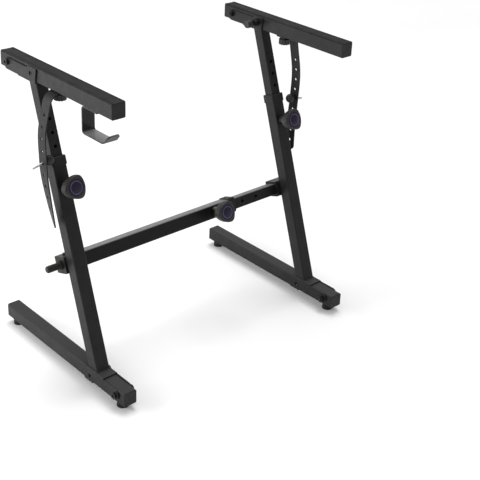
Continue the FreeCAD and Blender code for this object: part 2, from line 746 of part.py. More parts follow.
def clamp_knob():
    """Three-lobed knob and its screw along +Z; the tube's front face is at Z = 0."""
    screw_tip = clamp_gap - (half_tube - half_inner)
    hub_start = boss_height + clamp_gap
    screw = rod(clamp_screw, knob_reach / 2 - screw_tip, Vector(0, 0, screw_tip), z_axis)
    tip = [edge for edge in screw.Edges if abs(edge.CenterOfMass.z - screw_tip) < 0.01]
    screw = screw.makeChamfer(clamp_tip_bevel, tip)
    hub = rod(hub_diameter, knob_reach - hub_start - badge_thickness * 2,
              Vector(0, 0, hub_start), z_axis)
    head = moved(lobed_outline().extrude(Vector(0, 0, knob_head_height)),
                 z=knob_reach - knob_head_height)
    face_rim = [edge for edge in head.Edges if abs(edge.CenterOfMass.z - knob_reach) < 0.01]
    head = head.makeFillet(knob_edge_round, face_rim)
    back = knob_reach - knob_head_height
    back_rim = [edge for edge in head.Edges if abs(edge.CenterOfMass.z - back) < 0.01]
    head = head.makeChamfer(knob_back_bevel, back_rim)
    seat = rod(badge_diameter + 2 * fit_gap, badge_thickness,
               Vector(0, 0, knob_reach - badge_thickness), z_axis)
    return screw.fuse(hub).fuse(head).cut(seat)


def knob_badge():
    """Plain disc with one raised ring in the knob's face."""
    disc = rod(badge_diameter, badge_thickness, Vector(0, 0, knob_reach - badge_thickness),
               z_axis)
    start = Vector(0, 0, knob_reach)
    ring = rod(badge_ring_diameter, badge_ring_height, start, z_axis)
    ring = ring.cut(rod(badge_ring_diameter - 2 * badge_ring_width, badge_ring_height, start,
                        z_axis))
    return disc.fuse(ring)


def facing_front(shape):
    """Turn a knob's axis from +Z to -Y, its seat on a tube's front face."""
    return moved(turned(shape, x_axis, 90), y=-half_tube)


def build_knobs():
    for name, part in (("knob", clamp_knob()), ("knob_badge", knob_badge())):
        for side in ("left", "right"):
            placed = on_leg(moved(facing_front(part), z=leg_knob_station), side)
            save(side + "_leg_" + name, placed)
        save("crossbar_" + name, on_crossbar(facing_front(part), crossbar_knob_x))


# ---- strap with its screw and pin ----------------------------------------------------------
def strap_points(side):
    """Middle line of the strap, from its end under the arm, over the edge and down."""
    x = leg_x[side]
    out = outward[side]
    top = arm_bottom - strap_thickness / 2
    return [Vector(x - out * strap_inner_end, 0, top),
            Vector(x + out * strap_corner_out, 0, top),
            Vector(x + out * strap_bulge_out, 0, arm_bottom - strap_bulge_drop),
            Vector(x + out * strap_tip_out, 0, arm_bottom - strap_tip_drop)]


def build_strap(side):
    """Rubber strap with a row of holes, the screw that holds it and the pin hung on it."""
    x = leg_x[side]
    out = outward[side]
    y = arm_shift
    pin_z = arm_bottom - pin_drop[side]
    face = ribbon(strap_points(side), [strap_top_bend, strap_hang_bend], y_axis,
                  strap_thickness)
    strap = moved(face.extrude(Vector(0, strap_width, 0)), y=y - strap_width / 2)
    tip_edges = [edge for edge in strap.Edges
                 if abs(edge.tangentAt(edge.FirstParameter).y) < 0.01
                 and abs(edge.Length - strap_thickness) < 0.01
                 and edge.CenterOfMass.z < arm_bottom - strap_bulge_drop]
    strap = strap.makeFillet(strap_tip_round, tip_edges)
    across = tube_size + strap_bulge_out
    for step in range(-strap_holes_below, strap_holes_above + 1):
        start = Vector(x + out * half_tube, y, pin_z + step * strap_hole_pitch)
        strap = strap.cut(rod(strap_hole, across, start, x_axis * out))
    stud = thumb_screw_diameter + 2 * clamp_clearance
    strap = strap.cut(rod(stud, 3 * strap_thickness,
                          Vector(x, y, arm_bottom - 2 * strap_thickness), z_axis))
    save(side + "_strap", strap)

    seat = strap_face_out(pin_z) - pin_gap
    flange_start = Vector(x + out * seat, y, pin_z)
    flange = rod(pin_flange_diameter, pin_flange, flange_start, x_axis * -out)
    ball_middle = seat - pin_flange - pin_ball / 2 + pin_gap
    ball = Part.makeSphere(pin_ball / 2, Vector(x + out * ball_middle, y, pin_z))
    shaft = rod(pin_diameter, pin_out + strap_thickness, flange_start, x_axis * out)
    tip = [edge for edge in shaft.Edges
           if abs(abs(edge.CenterOfMass.x - x) - seat - pin_out - strap_thickness) < 0.01]
    shaft = shaft.makeChamfer(pin_tip_bevel, tip)
    save(side + "_strap_pin", flange.fuse(ball).fuse(shaft))

    seat_z = arm_bottom - strap_thickness - pin_gap
    stud_bar = rod(thumb_screw_diameter, thumb_screw_reach + strap_thickness,
                   Vector(x, y, seat_z), z_axis)
    neck = rod(thumb_neck_diameter, thumb_neck, Vector(x, y, seat_z), -z_axis)
    head_top = seat_z - thumb_neck
    head = rod(thumb_head_diameter, thumb_head, Vector(x, y, head_top), -z_axis)
    for turn in range(thumb_scallops):
        angle = 2 * math.pi * turn / thumb_scallops
        reach = thumb_head_diameter / 2 + thumb_scallop_radius - thumb_scallop_depth
        start = Vector(x + reach * math.cos(angle), y + reach * math.sin(angle), head_top)
        head = head.cut(rod(thumb_scallop_radius * 2, thumb_head, start, -z_axis))
    save(side + "_thumb_screw", stud_bar.fuse(neck).fuse(head))


def strap_face_out(height):
    """How far out the strap's leg-side face lies where its long bow passes a height."""
    above = strap_bulge_drop - (arm_bottom - height)
    slope_up = (strap_bulge_out - strap_corner_out) / strap_bulge_drop
    slope_down = (strap_bulge_out - strap_tip_out) / (strap_tip_drop - strap_bulge_drop)
    turn = math.atan(slope_up) + math.atan(slope_down)
    run = strap_hang_bend * math.tan(turn / 2)
    start_out = strap_bulge_out - run * math.sin(math.atan(slope_up))
    start_z = run * math.cos(math.atan(slope_up))
    centre_out = start_out - strap_hang_bend * math.cos(math.atan(slope_up))
    centre_z = start_z - strap_hang_bend * math.sin(math.atan(slope_up))
    face_radius = strap_hang_bend - strap_thickness / 2
    return centre_out + math.sqrt(face_radius ** 2 - (above - centre_z) ** 2)


# ---- headphone hook ------------------------------------------------------------------------
def build_hook():
    """Flat strip bent to a hook under the left arm and held by two rivets."""
    x = leg_x["left"]
    back = arm_shift - arm_length / 2 + hook_inset
    top = arm_bottom - hook_sheet / 2
    shelf = arm_bottom - hook_drop
    line = [Vector(0, back - hook_flange, top), Vector(0, back, top), Vector(0, back, shelf),
            Vector(0, back - hook_shelf, shelf),
            Vector(0, back - hook_shelf - hook_lip_forward, shelf + hook_lip_rise)]
    face = ribbon(line, [hook_bend, hook_bend, hook_lip_bend], x_axis, hook_sheet)
    hook = moved(face.extrude(Vector(hook_width, 0, 0)), x - hook_width / 2)
    tip = [edge for edge in hook.Edges
           if abs(edge.tangentAt(edge.FirstParameter).x) < 0.01
           and abs(edge.Length - hook_sheet) < 0.01
           and edge.CenterOfMass.y < back - hook_shelf]
    hook = hook.makeFillet(hook_tip_round, tip)
    for place in (-rivet_spacing / 2, rivet_spacing / 2):
        y = back - hook_flange / 2 - hook_sheet + place
        start = Vector(x, y, arm_bottom - hook_sheet)
        head = rod(rivet_diameter, rivet_height, start, -z_axis)
        rim = [edge for edge in head.Edges
               if abs(edge.CenterOfMass.z - start.z + rivet_height) < 0.01]
        hook = hook.fuse(head.makeFillet(rivet_round, rim))
    save("headphone_hook", hook)


for side_name in ("left", "right"):
    build_base(side_name)
    build_arm(side_name)
    build_brackets(side_name)
    build_outer_leg(side_name)
    build_inner_leg(side_name)
    build_strap(side_name)
build_crossbar()
build_knobs()
build_hook()
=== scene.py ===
import json
import math

import bmesh
import bpy
from mathutils import Matrix, Vector


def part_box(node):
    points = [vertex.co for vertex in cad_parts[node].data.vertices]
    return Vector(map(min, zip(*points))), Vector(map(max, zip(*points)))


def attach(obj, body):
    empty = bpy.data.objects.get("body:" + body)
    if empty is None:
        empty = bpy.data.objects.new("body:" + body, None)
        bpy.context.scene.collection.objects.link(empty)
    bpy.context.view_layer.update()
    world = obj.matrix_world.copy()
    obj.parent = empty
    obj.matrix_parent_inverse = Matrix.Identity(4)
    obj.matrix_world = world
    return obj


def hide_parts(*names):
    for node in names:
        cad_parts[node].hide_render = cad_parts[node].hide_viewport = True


MM = 0.001
ON_AXIS = 1e-7              # radius below which a ring is one point
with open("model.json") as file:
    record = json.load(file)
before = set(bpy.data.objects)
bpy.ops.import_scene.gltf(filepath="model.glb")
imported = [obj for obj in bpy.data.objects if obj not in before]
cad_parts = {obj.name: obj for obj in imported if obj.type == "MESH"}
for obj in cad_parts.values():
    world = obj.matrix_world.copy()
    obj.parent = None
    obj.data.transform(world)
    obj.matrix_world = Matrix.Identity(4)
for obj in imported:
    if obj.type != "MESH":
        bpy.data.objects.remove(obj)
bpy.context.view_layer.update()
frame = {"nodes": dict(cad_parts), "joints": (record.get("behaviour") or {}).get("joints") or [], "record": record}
joints = {joint["name"]: joint for joint in frame["joints"]}
SIDES = {"left": -1, "right": 1}
LEG_X = 292.5 * MM

# ---- camera and lights ---------------------------------------------------------------------
CAMERA_PLACE = (-1.3247, -1.6034, 1.3100)
CAMERA_HEADING = 43.09      # degrees from +Y toward +X
CAMERA_DROP = 24.63         # degrees below the horizon
CAMERA_ROLL = 2.48          # degrees
CAMERA_LENS = 80.50         # millimetres
CAMERA_SENSOR = 36          # millimetres
CAMERA_SHIFT = -0.1375      # share of the picture's height
CAMERA_FAR = 100
FLOOR_SIZE = 60.0
FLOOR_TONES = (0.93, 0.95)
FLOOR_PATCHES = 3.0
FLOOR_ROUGHNESS = 0.9
WORLD_STRENGTH = 0.5
KEY_PLACE = (-2.4, 1.4, 1.1)
KEY_AIM = (0, 0, 0.3)
KEY_SIZE = (2.4, 1.8)
KEY_POWER = 60
OVERHEAD_STRENGTH = 1.7
OVERHEAD_PLACE = (0.22, 0.2, 1.0)   # direction it shines from
OVERHEAD_SPREAD = 34        # degrees

# ---- strap ---------------------------------------------------------------------------------
STRAP_WIDTH = 25 * MM
STRAP_THICKNESS = 2.5 * MM
STRAP_TIP_ROUND = 10 * MM
STRAP_HOLE = 3 * MM         # radius
STRAP_PITCH = 24 * MM
STRAP_HOLES_EACH_WAY = 4
STRAP_STEP = 3 * MM         # spacing of the bends in its mesh
STRAP_EDGE = 0.45 * MM
STRAP_EDGE_ANGLE = 50       # degrees from which an edge is rounded
STRAP_HOLE_CORNERS = 24
STRAP_TIP_STEPS = 10        # in each quarter turn of its tip
STRAP_BEND_STEPS = 24
STRAP_ROUTE = ((-13, 1.25), (26.6, 1.25), (46, 128), (27.5, 275.5))  # out, down: millimetres
STRAP_BENDS = (24, 400)     # radii, millimetres
PIN_DROP = {"left": 138 * MM, "right": 156.5 * MM}
STRAP_SWAY_START = 40 * MM
STRAP_SWAY = {"left": (0.006, -0.009), "right": (-0.003, -0.008)}   # above and below its pin
STRAP_TWIST = {"left": 24.0, "right": -12.0}                        # degrees at the tip
STRAP_DOT_SCALE = 700.0

# ---- arm pads ------------------------------------------------------------------------------
PAD_TOP = 1.5 * MM
PAD_VALLEY = 1.0 * MM
PAD_ROUND = 0.6 * MM
PAD_RIBS = (1.1 * MM, 2.9 * MM, 4.7 * MM)   # from the pad's long edges
PAD_RIB_WIDTH = 0.42 * MM
PAD_CROWN = 0.12 * MM
PAD_END_SINKS = ((0.0, 0.5 * MM), (0.15 * MM, 0.2 * MM), (0.5 * MM, 0))   # in from its end, down
PAD_THINNEST = 0.3 * MM
PAD_STEPS = 120
PAD_DOT_SCALE = 620.0

# ---- legs and weld beads -------------------------------------------------------------------
LEG_LEAN = 18.5             # degrees back from upright
LEG_FOOT_Y = -111.5 * MM
BASE_TOP = 44 * MM
WEB_TOP = 46.8 * MM         # lower bracket's web, on which the outer leg stands
WEB_BOTTOM = 603.7 * MM     # upper bracket's web, on which the inner leg ends
CROSSBAR_STATION = 221 * MM
BEAD_STEP = 1.1 * MM
BEAD_SIDES = 8
BEAD_SHARP = 80.0           # degrees, above its own corners
BEAD_ACROSS = Vector((0.31, 0.17, 0.93))    # along no bead, to start its rings from
BEAD_RIPPLES = ((0.16, 2.2), (0.05, 0.7))   # share of the radius, turn from step to step
FOOT_BEAD = (15.4 * MM, 16.2 * MM, 1.3 * MM)   # half its width, half its length, radius
HEAD_BEAD = (12.9 * MM, 13.6 * MM, 1.2 * MM)
BEAD_CORNER = 2.2 * MM
SOCKET_HALF = 17.6 * MM     # from the crossbar's middle to its socket's edge
SOCKET_BEAD = (12 * MM, -15.2 * MM, 1.3 * MM)   # half its length, place ahead, radius

# ---- strap pin -----------------------------------------------------------------------------
BALL = 10.25 * MM           # radius
BALL_TURNS = 40
BALL_STEPS = 24
PIN_TILT = 12.0             # degrees, its outer end lower
PIN_SHAFT = 2.7 * MM        # radius
PIN_FLANGE = 4.5 * MM       # radius
PIN_FLANGE_THICKNESS = 1 * MM
PIN_BEVEL = 0.3 * MM
PIN_TIP_ROUND = 1.5 * MM
PIN_TIP_START = 2 * MM      # before its end
PIN_IN_BALL = 0.5 * MM
PIN_TURNS = 32

# ---- clamp knobs ---------------------------------------------------------------------------
KNOB_REACH = 43 * MM        # from the tube's face to its own
KNOB_HUB = 11 * MM          # radius
KNOB_CIRCLE = 14.8 * MM     # circle on which the lobes' centres lie
KNOB_LOBE = 10.7 * MM       # radius of a lobe
KNOB_SIDE = 37.5 * MM       # radius of a side
KNOB_TURNS = 96
# Millimetres from the tube's face, share of the lobed outline, inset in millimetres:
KNOB_LEVELS = ((10.3, 0, 0.8), (10.9, 0, 0), (17, 0, 0), (19, 0.06, 0), (21, 0.3, 0),
               (23, 0.62, 0), (25.5, 0.85, 0), (29, 0.96, 0), (33, 1, 0), (38.2, 1, 0),
               (38.5, 1, 0.35), (39.1, 1, 0.35), (39.4, 1, 0), (40.6, 1, 0), (41.4, 1, 0.25),
               (42.2, 1, 0.8), (42.8, 1, 1.7), (43, 1, 2.6))
# Radius and millimetres from the tube's face:
KNOB_SEAT = ((17.4, 43.0), (17.1, 42.7), (17.1, 41.9))
KNOB_SCREW = ((0, -2.2), (3, -2.2), (4, -1.2), (4, 10.9), (0, 10.9))
KNOB_DISC = ((0, 41.95), (17, 41.95), (17, 42.8), (16.7, 43.0), (13.6, 43.0), (13.4, 42.9),
             (11.9, 42.9), (11.7, 43.0), (0, 43.15))
KNOB_RING = ((12.0, 42.85), (12.15, 43.2), (12.65, 43.35), (13.1, 43.2), (13.25, 42.85))
KNOB_DISC_TURNS = 72
KNOB_SCREW_TURNS = 32

# ---- lock plungers -------------------------------------------------------------------------
PLUNGER_LONG_FROM = 8 * MM  # radius from which a pull knob is the long kind
LONG_GRIP = 14 * MM
SHORT_GRIP = 4.5 * MM
LONG_RIBS = 3
RIBS_START = 0.9 * MM
RIBS_LOST = 3.4 * MM        # length of a long grip without ribs
SHORT_RIB = 2.4 * MM
RIB_DEPTH = 0.7 * MM
GRIP_ROUND = 1.6 * MM
GRIP_ROUND_IN = 2.2 * MM
GRIP_DIP = 0.4 * MM
GRIP_SHOULDER = 0.6 * MM
GRIP_TURNS = 48
ROUND_STEPS = 6
LOCK_PIN = 4 * MM           # radius
LOCK_PIN_TIP = 2.8 * MM
LOCK_PIN_BEVEL = 1.2 * MM
LOCK_PIN_IN_GRIP = 1 * MM

# ---- surfaces: noise scales, shares of the noise, and depths --------------------------------
CROSSBAR_TUBES = ("crossbar_inner_tube", "crossbar_outer_tube")
PATCH_SCALE = 35.0
PATCH_STOPS = (0.35, 0.65)
STREAK_SCALE = 90.0
STREAK_DETAIL = 6.0
STREAK_SPREAD = (-0.06, 0.08)       # added to the roughness
GRAIN_DETAIL = 3.0
GRAIN_STRENGTH = 0.5
NOISE_MIDDLE = (0.3, 0.7)           # where most of a noise lies
PAINTED_REFLECTION_FROM = (0.6, 0.95)            # upward share of the normal, where the painted reflection on level faces fades in
EDGE_SAMPLES = 4
PEBBLE_DEPTH = 0.3 * MM


# ---- materials -----------------------------------------------------------------------------
def material(name):
    """A new node material with its shader, texture coordinates and the tools to build on."""
    made = bpy.data.materials.new(name)
    made.use_nodes = True
    tree = made.node_tree
    shader = tree.nodes["Principled BSDF"]
    place = tree.nodes.new("ShaderNodeTexCoord")
    return made, tree, shader, place.outputs["Object"]


def noise(tree, place, scale, detail=4.0):
    texture = tree.nodes.new("ShaderNodeTexNoise")
    texture.inputs["Scale"].default_value = scale
    texture.inputs["Detail"].default_value = detail
    tree.links.new(place, texture.inputs["Vector"])
    return texture.outputs["Fac"]


def ramp(tree, value, stops):
    """Colour by a value, through two or more (position, colour) stops."""
    stops = list(stops)
    node = tree.nodes.new("ShaderNodeValToRGB")
    elements = node.color_ramp.elements
    while len(elements) < len(stops):
        elements.new(0.5)
    for element, (position, colour) in zip(elements, stops):
        element.position = position
        element.color = (*colour, 1)
    tree.links.new(value, node.inputs["Fac"])
    return node.outputs["Color"]


def spread(tree, value, low, high):
    """Stretch a noise, which mostly stays near its middle, over a range."""
    node = tree.nodes.new("ShaderNodeMapRange")
    node.inputs["From Min"].default_value, node.inputs["From Max"].default_value = NOISE_MIDDLE
    node.inputs["To Min"].default_value = low
    node.inputs["To Max"].default_value = high
    tree.links.new(value, node.inputs["Value"])
    return node.outputs["Result"]


def bump(tree, height, strength, distance, under=None):
    node = tree.nodes.new("ShaderNodeBump")
    node.inputs["Strength"].default_value = strength
    node.inputs["Distance"].default_value = distance
    tree.links.new(height, node.inputs["Height"])
    if under is not None:
        tree.links.new(under, node.inputs["Normal"])
    return node.outputs["Normal"]


def soft_edges(tree, radius):
    node = tree.nodes.new("ShaderNodeBevel")
    node.samples = EDGE_SAMPLES
    node.inputs["Radius"].default_value = radius
    return node.outputs["Normal"]


def coated(name, dark, light, rough, grain, depth, metal=0.0, edge=0.5 * MM, specular=0.18):
    """Painted or moulded surface: mottled colour, uneven gloss and a fine grain."""
    made, tree, shader, place = material(name)
    patches = noise(tree, place, PATCH_SCALE)
    colour = ramp(tree, patches, zip(PATCH_STOPS, (dark, light)))
    tree.links.new(colour, shader.inputs["Base Color"])
    streaks = noise(tree, place, STREAK_SCALE, STREAK_DETAIL)
    smoothest, roughest = (rough + change for change in STREAK_SPREAD)
    tree.links.new(spread(tree, streaks, smoothest, roughest), shader.inputs["Roughness"])
    shader.inputs["Metallic"].default_value = metal
    shader.inputs["Specular IOR Level"].default_value = specular
    fine = noise(tree, place, grain, GRAIN_DETAIL)
    normal = bump(tree, fine, GRAIN_STRENGTH, depth, soft_edges(tree, edge))
    tree.links.new(normal, shader.inputs["Normal"])
    return made


def pebbled(made, place_node, place_output, scale, strength, randomness=1.0):
    """Add moulded dots to a surface: in rows without randomness, else like leather."""
    tree = made.node_tree
    shader = tree.nodes["Principled BSDF"]
    under = shader.inputs["Normal"].links[0].from_socket
    place = tree.nodes.new(place_node)
    dots = tree.nodes.new("ShaderNodeTexVoronoi")
    dots.inputs["Scale"].default_value = scale
    dots.inputs["Randomness"].default_value = randomness
    tree.links.new(place.outputs[place_output], dots.inputs["Vector"])
    normal = bump(tree, dots.outputs["Distance"], strength, PEBBLE_DEPTH, under)
    tree.links.new(normal, shader.inputs["Normal"])
    return made


def painted_reflection_on_top(made, painted_reflection_colour):
    """Paint a paler colour on the faces that lie level at rest: a painted reflection, in place of reflected light.
    """
    tree = made.node_tree
    shader = tree.nodes["Principled BSDF"]
    under = shader.inputs["Base Color"].links[0].from_socket
    place = tree.nodes.new("ShaderNodeTexCoord")
    parts = tree.nodes.new("ShaderNodeSeparateXYZ")
    tree.links.new(place.outputs["Normal"], parts.inputs["Vector"])
    share = tree.nodes.new("ShaderNodeMapRange")
    share.inputs["From Min"].default_value, share.inputs["From Max"].default_value = PAINTED_REFLECTION_FROM
    tree.links.new(parts.outputs["Z"], share.inputs["Value"])
    blend = tree.nodes.new("ShaderNodeMix")
    blend.data_type = "RGBA"
    factor, first_colour, second_colour = (blend.inputs[index] for index in (0, 6, 7))
    tree.links.new(share.outputs["Result"], factor)
    tree.links.new(under, first_colour)
    second_colour.default_value = (*painted_reflection_colour, 1)
    mixed_colour = blend.outputs[2]
    tree.links.new(mixed_colour, shader.inputs["Base Color"])
    return made


def grey(value, warm=0.0):
    """Grey, or one warmed toward red by a share."""
    return (value * (1 + warm), value, value * (1 - warm))


materials = {
    # Powder coat: its level faces are painted paler, a painted reflection over the mottled paint.
    "powder_coat": painted_reflection_on_top(coated("powder_coat", grey(0.011), grey(0.016), 0.38, 1400,
                                       0.1 * MM), grey(0.036)),
    # Gloss paint: a strong painted reflection on its level faces, such as the hook's shelf.
    "gloss_paint": painted_reflection_on_top(coated("gloss_paint", grey(0.012), grey(0.018), 0.2, 500,
                                       0.02 * MM, specular=0.22), grey(0.27)),
    # Crossbar tubes: a darker paint all over, with a painted reflection on their level faces.
    "bar_paint_and_reflection": painted_reflection_on_top(coated("bar_paint_and_reflection", grey(0.006), grey(0.009), 0.34, 1400,
                                     0.08 * MM, specular=0.18), grey(0.14)),
    "black_plastic": coated("black_plastic", grey(0.012), grey(0.018), 0.45, 1800, 0.15 * MM),
    "knob_plastic": coated("knob_plastic", grey(0.016, 0.06), grey(0.024, 0.06), 0.5, 1500,
                           0.12 * MM, specular=0.35),
    "black_rubber": coated("black_rubber", grey(0.012), grey(0.018), 0.6, 1100, 0.2 * MM),
    "foam_pad": coated("foam_pad", grey(0.014), grey(0.024), 0.7, 700, 0.5 * MM),
    "bright_steel": coated("bright_steel", grey(0.55), grey(0.68), 0.25, 900, 0.03 * MM, 1.0,
                           0.2 * MM, 0.5),
    "black_steel": coated("black_steel", grey(0.012), grey(0.02), 0.32, 1200, 0.04 * MM),
    "badge_violet": coated("badge_violet", (0.014, 0.011, 0.022), (0.021, 0.016, 0.033), 0.3,
                           700, 0.02 * MM),
    "ring_violet": coated("ring_violet", (0.12, 0.09, 0.24), (0.16, 0.12, 0.31), 0.35, 700,
                          0.02 * MM),
    "strap_rubber": pebbled(coated("strap_rubber", grey(0.014), grey(0.021), 0.5, 1100,
                                   0.1 * MM), "ShaderNodeUVMap", "UV", STRAP_DOT_SCALE, 0.6,
                            0.0),
    "pad_rubber": pebbled(coated("pad_rubber", grey(0.014), grey(0.022), 0.6, 1300, 0.25 * MM),
                          "ShaderNodeTexCoord", "Object", PAD_DOT_SCALE, 0.5),
}
for entry in frame["record"]["subparts"]:
    node = frame["nodes"][entry["node"]]
    node.data.materials.clear()
    finish = "bar_paint_and_reflection" if entry["node"] in CROSSBAR_TUBES else entry["material_slot"]
    node.data.materials.append(materials[finish])


# ---- mesh helpers --------------------------------------------------------------------------
def finished(name, mesh_builder, finish, body, sharp=35.0):
    """Turn a bmesh into a piece with its material, smooth but for its sharp edges."""
    bmesh.ops.recalc_face_normals(mesh_builder, faces=mesh_builder.faces)
    mesh = bpy.data.meshes.new(name)
    mesh_builder.to_mesh(mesh)
    mesh_builder.free()
    mesh.shade_smooth()
    mesh.set_sharp_from_angle(angle=math.radians(sharp))
    mesh.materials.append(materials[finish])
    piece = bpy.data.objects.new(name, mesh)
    bpy.context.scene.collection.objects.link(piece)
    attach(piece, body)
    return piece


def revolve(profile, turns):
    """A new bmesh with a ring of points, or one point on the axis, for each (radius, height)."""
    shape = bmesh.new()
    rings = []
    for radius, height in profile:
        if radius < ON_AXIS:
            rings.append([shape.verts.new((0, 0, height))])
            continue
        ring = []
        for turn in range(turns):
            angle = 2 * math.pi * turn / turns
            ring.append(shape.verts.new((radius * math.cos(angle), radius * math.sin(angle),
                                         height)))
        rings.append(ring)
    return shape, rings


def lathe_ring(profile, turns, place):
    """Revolve a closed (radius, height) outline about Z."""
    shape, rings = revolve(profile, turns)
    for low, high in zip(rings, rings[1:] + rings[:1]):
        join_rings(shape, low, high)
    shape.transform(place)
    return shape


def lathe(profile, turns, place):
    """Revolve (radius, height) points about Z and put the result in its place."""
    shape, rings = revolve(profile, turns)
    for low, high in zip(rings, rings[1:]):
        join_rings(shape, low, high)
    for ring in (rings[0], rings[-1]):
        if len(ring) > 1:
            shape.faces.new(ring)
    shape.transform(place)
    return shape


def metres(profile):
    return [(radius * MM, height * MM) for radius, height in profile]


def join_rings(shape, low, high):
    """Faces between two rings of points, either of which may be a single point."""
    count = max(len(low), len(high))
    for index in range(count):
        after = (index + 1) % count
        if len(low) == 1:
            shape.faces.new((low[0], high[index], high[after]))
        elif len(high) == 1:
            shape.faces.new((low[index], high[0], low[after]))
        else:
            shape.faces.new((low[index], low[after], high[after], high[index]))


def arc(centre, radius, start, end, steps):
    """Points (radius, height) of a circular arc in a lathe profile, angles in degrees."""
    points = []
    for step in range(steps + 1):
        angle = math.radians(start + (end - start) * step / steps)
        points.append((centre[0] + radius * math.cos(angle),
                       centre[1] + radius * math.sin(angle)))
    return points


def toward(direction, origin, across=Vector((1, 0, 0))):
    """Matrix whose +Z is the direction and whose +X lies nearest to across."""
    up = Vector(direction).normalized()
    side = (across - across.dot(up) * up).normalized()
    turn = Matrix((side, up.cross(side), up)).transposed().to_4x4()
    return Matrix.Translation(origin) @ turn


# ---- straps --------------------------------------------------------------------------------
def route_points(points, radii, step):
    """Sample straight runs joined by arcs, at an even spacing."""
    rough = [points[0]]
    for index, radius in enumerate(radii):
        before, corner, after = points[index], points[index + 1], points[index + 2]
        back = (before - corner).normalized()
        ahead = (after - corner).normalized()
        half = back.angle(ahead) / 2
        centre = corner + (back + ahead).normalized() * (radius / math.sin(half))
        start = corner + back * (radius / math.tan(half)) - centre
        end = corner + ahead * (radius / math.tan(half)) - centre
        for part in range(STRAP_BEND_STEPS + 1):
            turned = start.slerp(end, part / STRAP_BEND_STEPS)
            rough.append(centre + turned.normalized() * radius)
    rough.append(points[-1])
    even = [rough[0]]
    for first, second in zip(rough, rough[1:]):
        count = max(1, round((second - first).length / step))
        for part in range(1, count + 1):
            even.append(first.lerp(second, part / count))
    return even


class Route:
    """Line through points, asked by the distance along it."""

    def __init__(self, points):
        self.points = points
        self.distances = [0.0]
        for first, second in zip(points, points[1:]):
            self.distances.append(self.distances[-1] + (second - first).length)
        self.length = self.distances[-1]

    def at(self, distance):
        distance = min(max(distance, 0.0), self.length)
        index = 0
        while index < len(self.points) - 2 and self.distances[index + 1] < distance:
            index += 1
        first, second = self.points[index], self.points[index + 1]
        share = (distance - self.distances[index]) / (second - first).length
        return first.lerp(second, share)

    def along(self, distance):
        return (self.at(distance + 1 * MM) - self.at(distance - 1 * MM)).normalized()

    def distance_at_height(self, height):
        for distance, point in zip(self.distances, self.points):
            if point.z <= height:
                return distance
        return self.length


def flat_strap(length, holes):
    """Flat strap in the X-Y plane, X along it, with a rounded tip and round holes."""
    shape = bmesh.new()
    half = STRAP_WIDTH / 2
    outline = [(0.0, -half)]
    for start, centre_y in ((-90, -half + STRAP_TIP_ROUND), (0, half - STRAP_TIP_ROUND)):
        outline += arc((length - STRAP_TIP_ROUND, centre_y), STRAP_TIP_ROUND, start, start + 90,
                       STRAP_TIP_STEPS)
    outline.append((0.0, half))
    loops = [outline]
    for hole in holes:
        loops.append(arc((hole, 0.0), STRAP_HOLE, 0, 360 - 360 / STRAP_HOLE_CORNERS,
                         STRAP_HOLE_CORNERS - 1))
    for loop in loops:
        corners = [shape.verts.new((x, y, 0)) for x, y in loop]
        for first, second in zip(corners, corners[1:] + corners[:1]):
            shape.edges.new((first, second))
    bmesh.ops.triangle_fill(shape, use_beauty=True, use_dissolve=False, edges=shape.edges[:])
    steps = int(length / STRAP_STEP)
    for step in range(1, steps):
        everything = shape.verts[:] + shape.edges[:] + shape.faces[:]
        bmesh.ops.bisect_plane(shape, geom=everything, dist=1e-7,
                               plane_co=(length * step / steps, 0, 0), plane_no=(1, 0, 0))
    return shape


def strap(side):
    """Rubber strap: under the arm, over its edge and down past its pin, swaying a little."""
    out = SIDES[side]
    arm_low, arm_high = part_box(side + "_arm_tube")
    strap_low, strap_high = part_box(side + "_strap")
    middle = Vector(((arm_low.x + arm_high.x) / 2, (strap_low.y + strap_high.y) / 2, arm_low.z))
    corners = [middle + Vector((out * across, 0, -down)) * MM for across, down in STRAP_ROUTE]
    route = Route(route_points(corners, [bend * MM for bend in STRAP_BENDS], STRAP_STEP))
    pin = route.distance_at_height(middle.z - PIN_DROP[side])
    holes = []
    for step in range(-STRAP_HOLES_EACH_WAY, STRAP_HOLES_EACH_WAY + 1):
        holes.append(pin + step * STRAP_PITCH)
    holes.append(-STRAP_ROUTE[0][0] * MM)
    shape = flat_strap(route.length, holes)
    layer = shape.loops.layers.uv.new("UVMap")
    for face in shape.faces:
        for loop in face.loops:
            loop[layer].uv = (loop.vert.co.x, loop.vert.co.y)
    lower = shape.faces[:]
    grown = bmesh.ops.extrude_face_region(shape, geom=lower)["geom"]
    for item in grown:
        if isinstance(item, bmesh.types.BMVert):
            item.co.z = STRAP_THICKNESS
    sway_above, sway_below = STRAP_SWAY[side]
    for vertex in shape.verts:
        distance, across, rise = vertex.co
        point = route.at(distance)
        ahead = route.along(distance)
        turn = 0.0
        if STRAP_SWAY_START < distance < pin:
            share = (distance - STRAP_SWAY_START) / (pin - STRAP_SWAY_START)
            point = point + Vector((0, sway_above * math.sin(math.pi * share) ** 2, 0))
        elif distance >= pin:
            share = (distance - pin) / (route.length - pin)
            point = point + Vector((0, sway_below * share ** 2, 0))
            turn = math.radians(STRAP_TWIST[side]) * share ** 1.5
        level = Matrix.Rotation(turn, 3, ahead) @ Vector((0, 1, 0))
        facing = level.cross(ahead).normalized()
        vertex.co = point + level * across + facing * (rise - STRAP_THICKNESS / 2)
    piece = finished(side + "_strap_rubber", shape, "strap_rubber", side + "_arm")
    rounding = piece.modifiers.new("edges", "BEVEL")
    rounding.width = STRAP_EDGE
    rounding.segments = 2
    rounding.limit_method = "ANGLE"
    rounding.angle_limit = math.radians(STRAP_EDGE_ANGLE)
    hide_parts(side + "_strap")


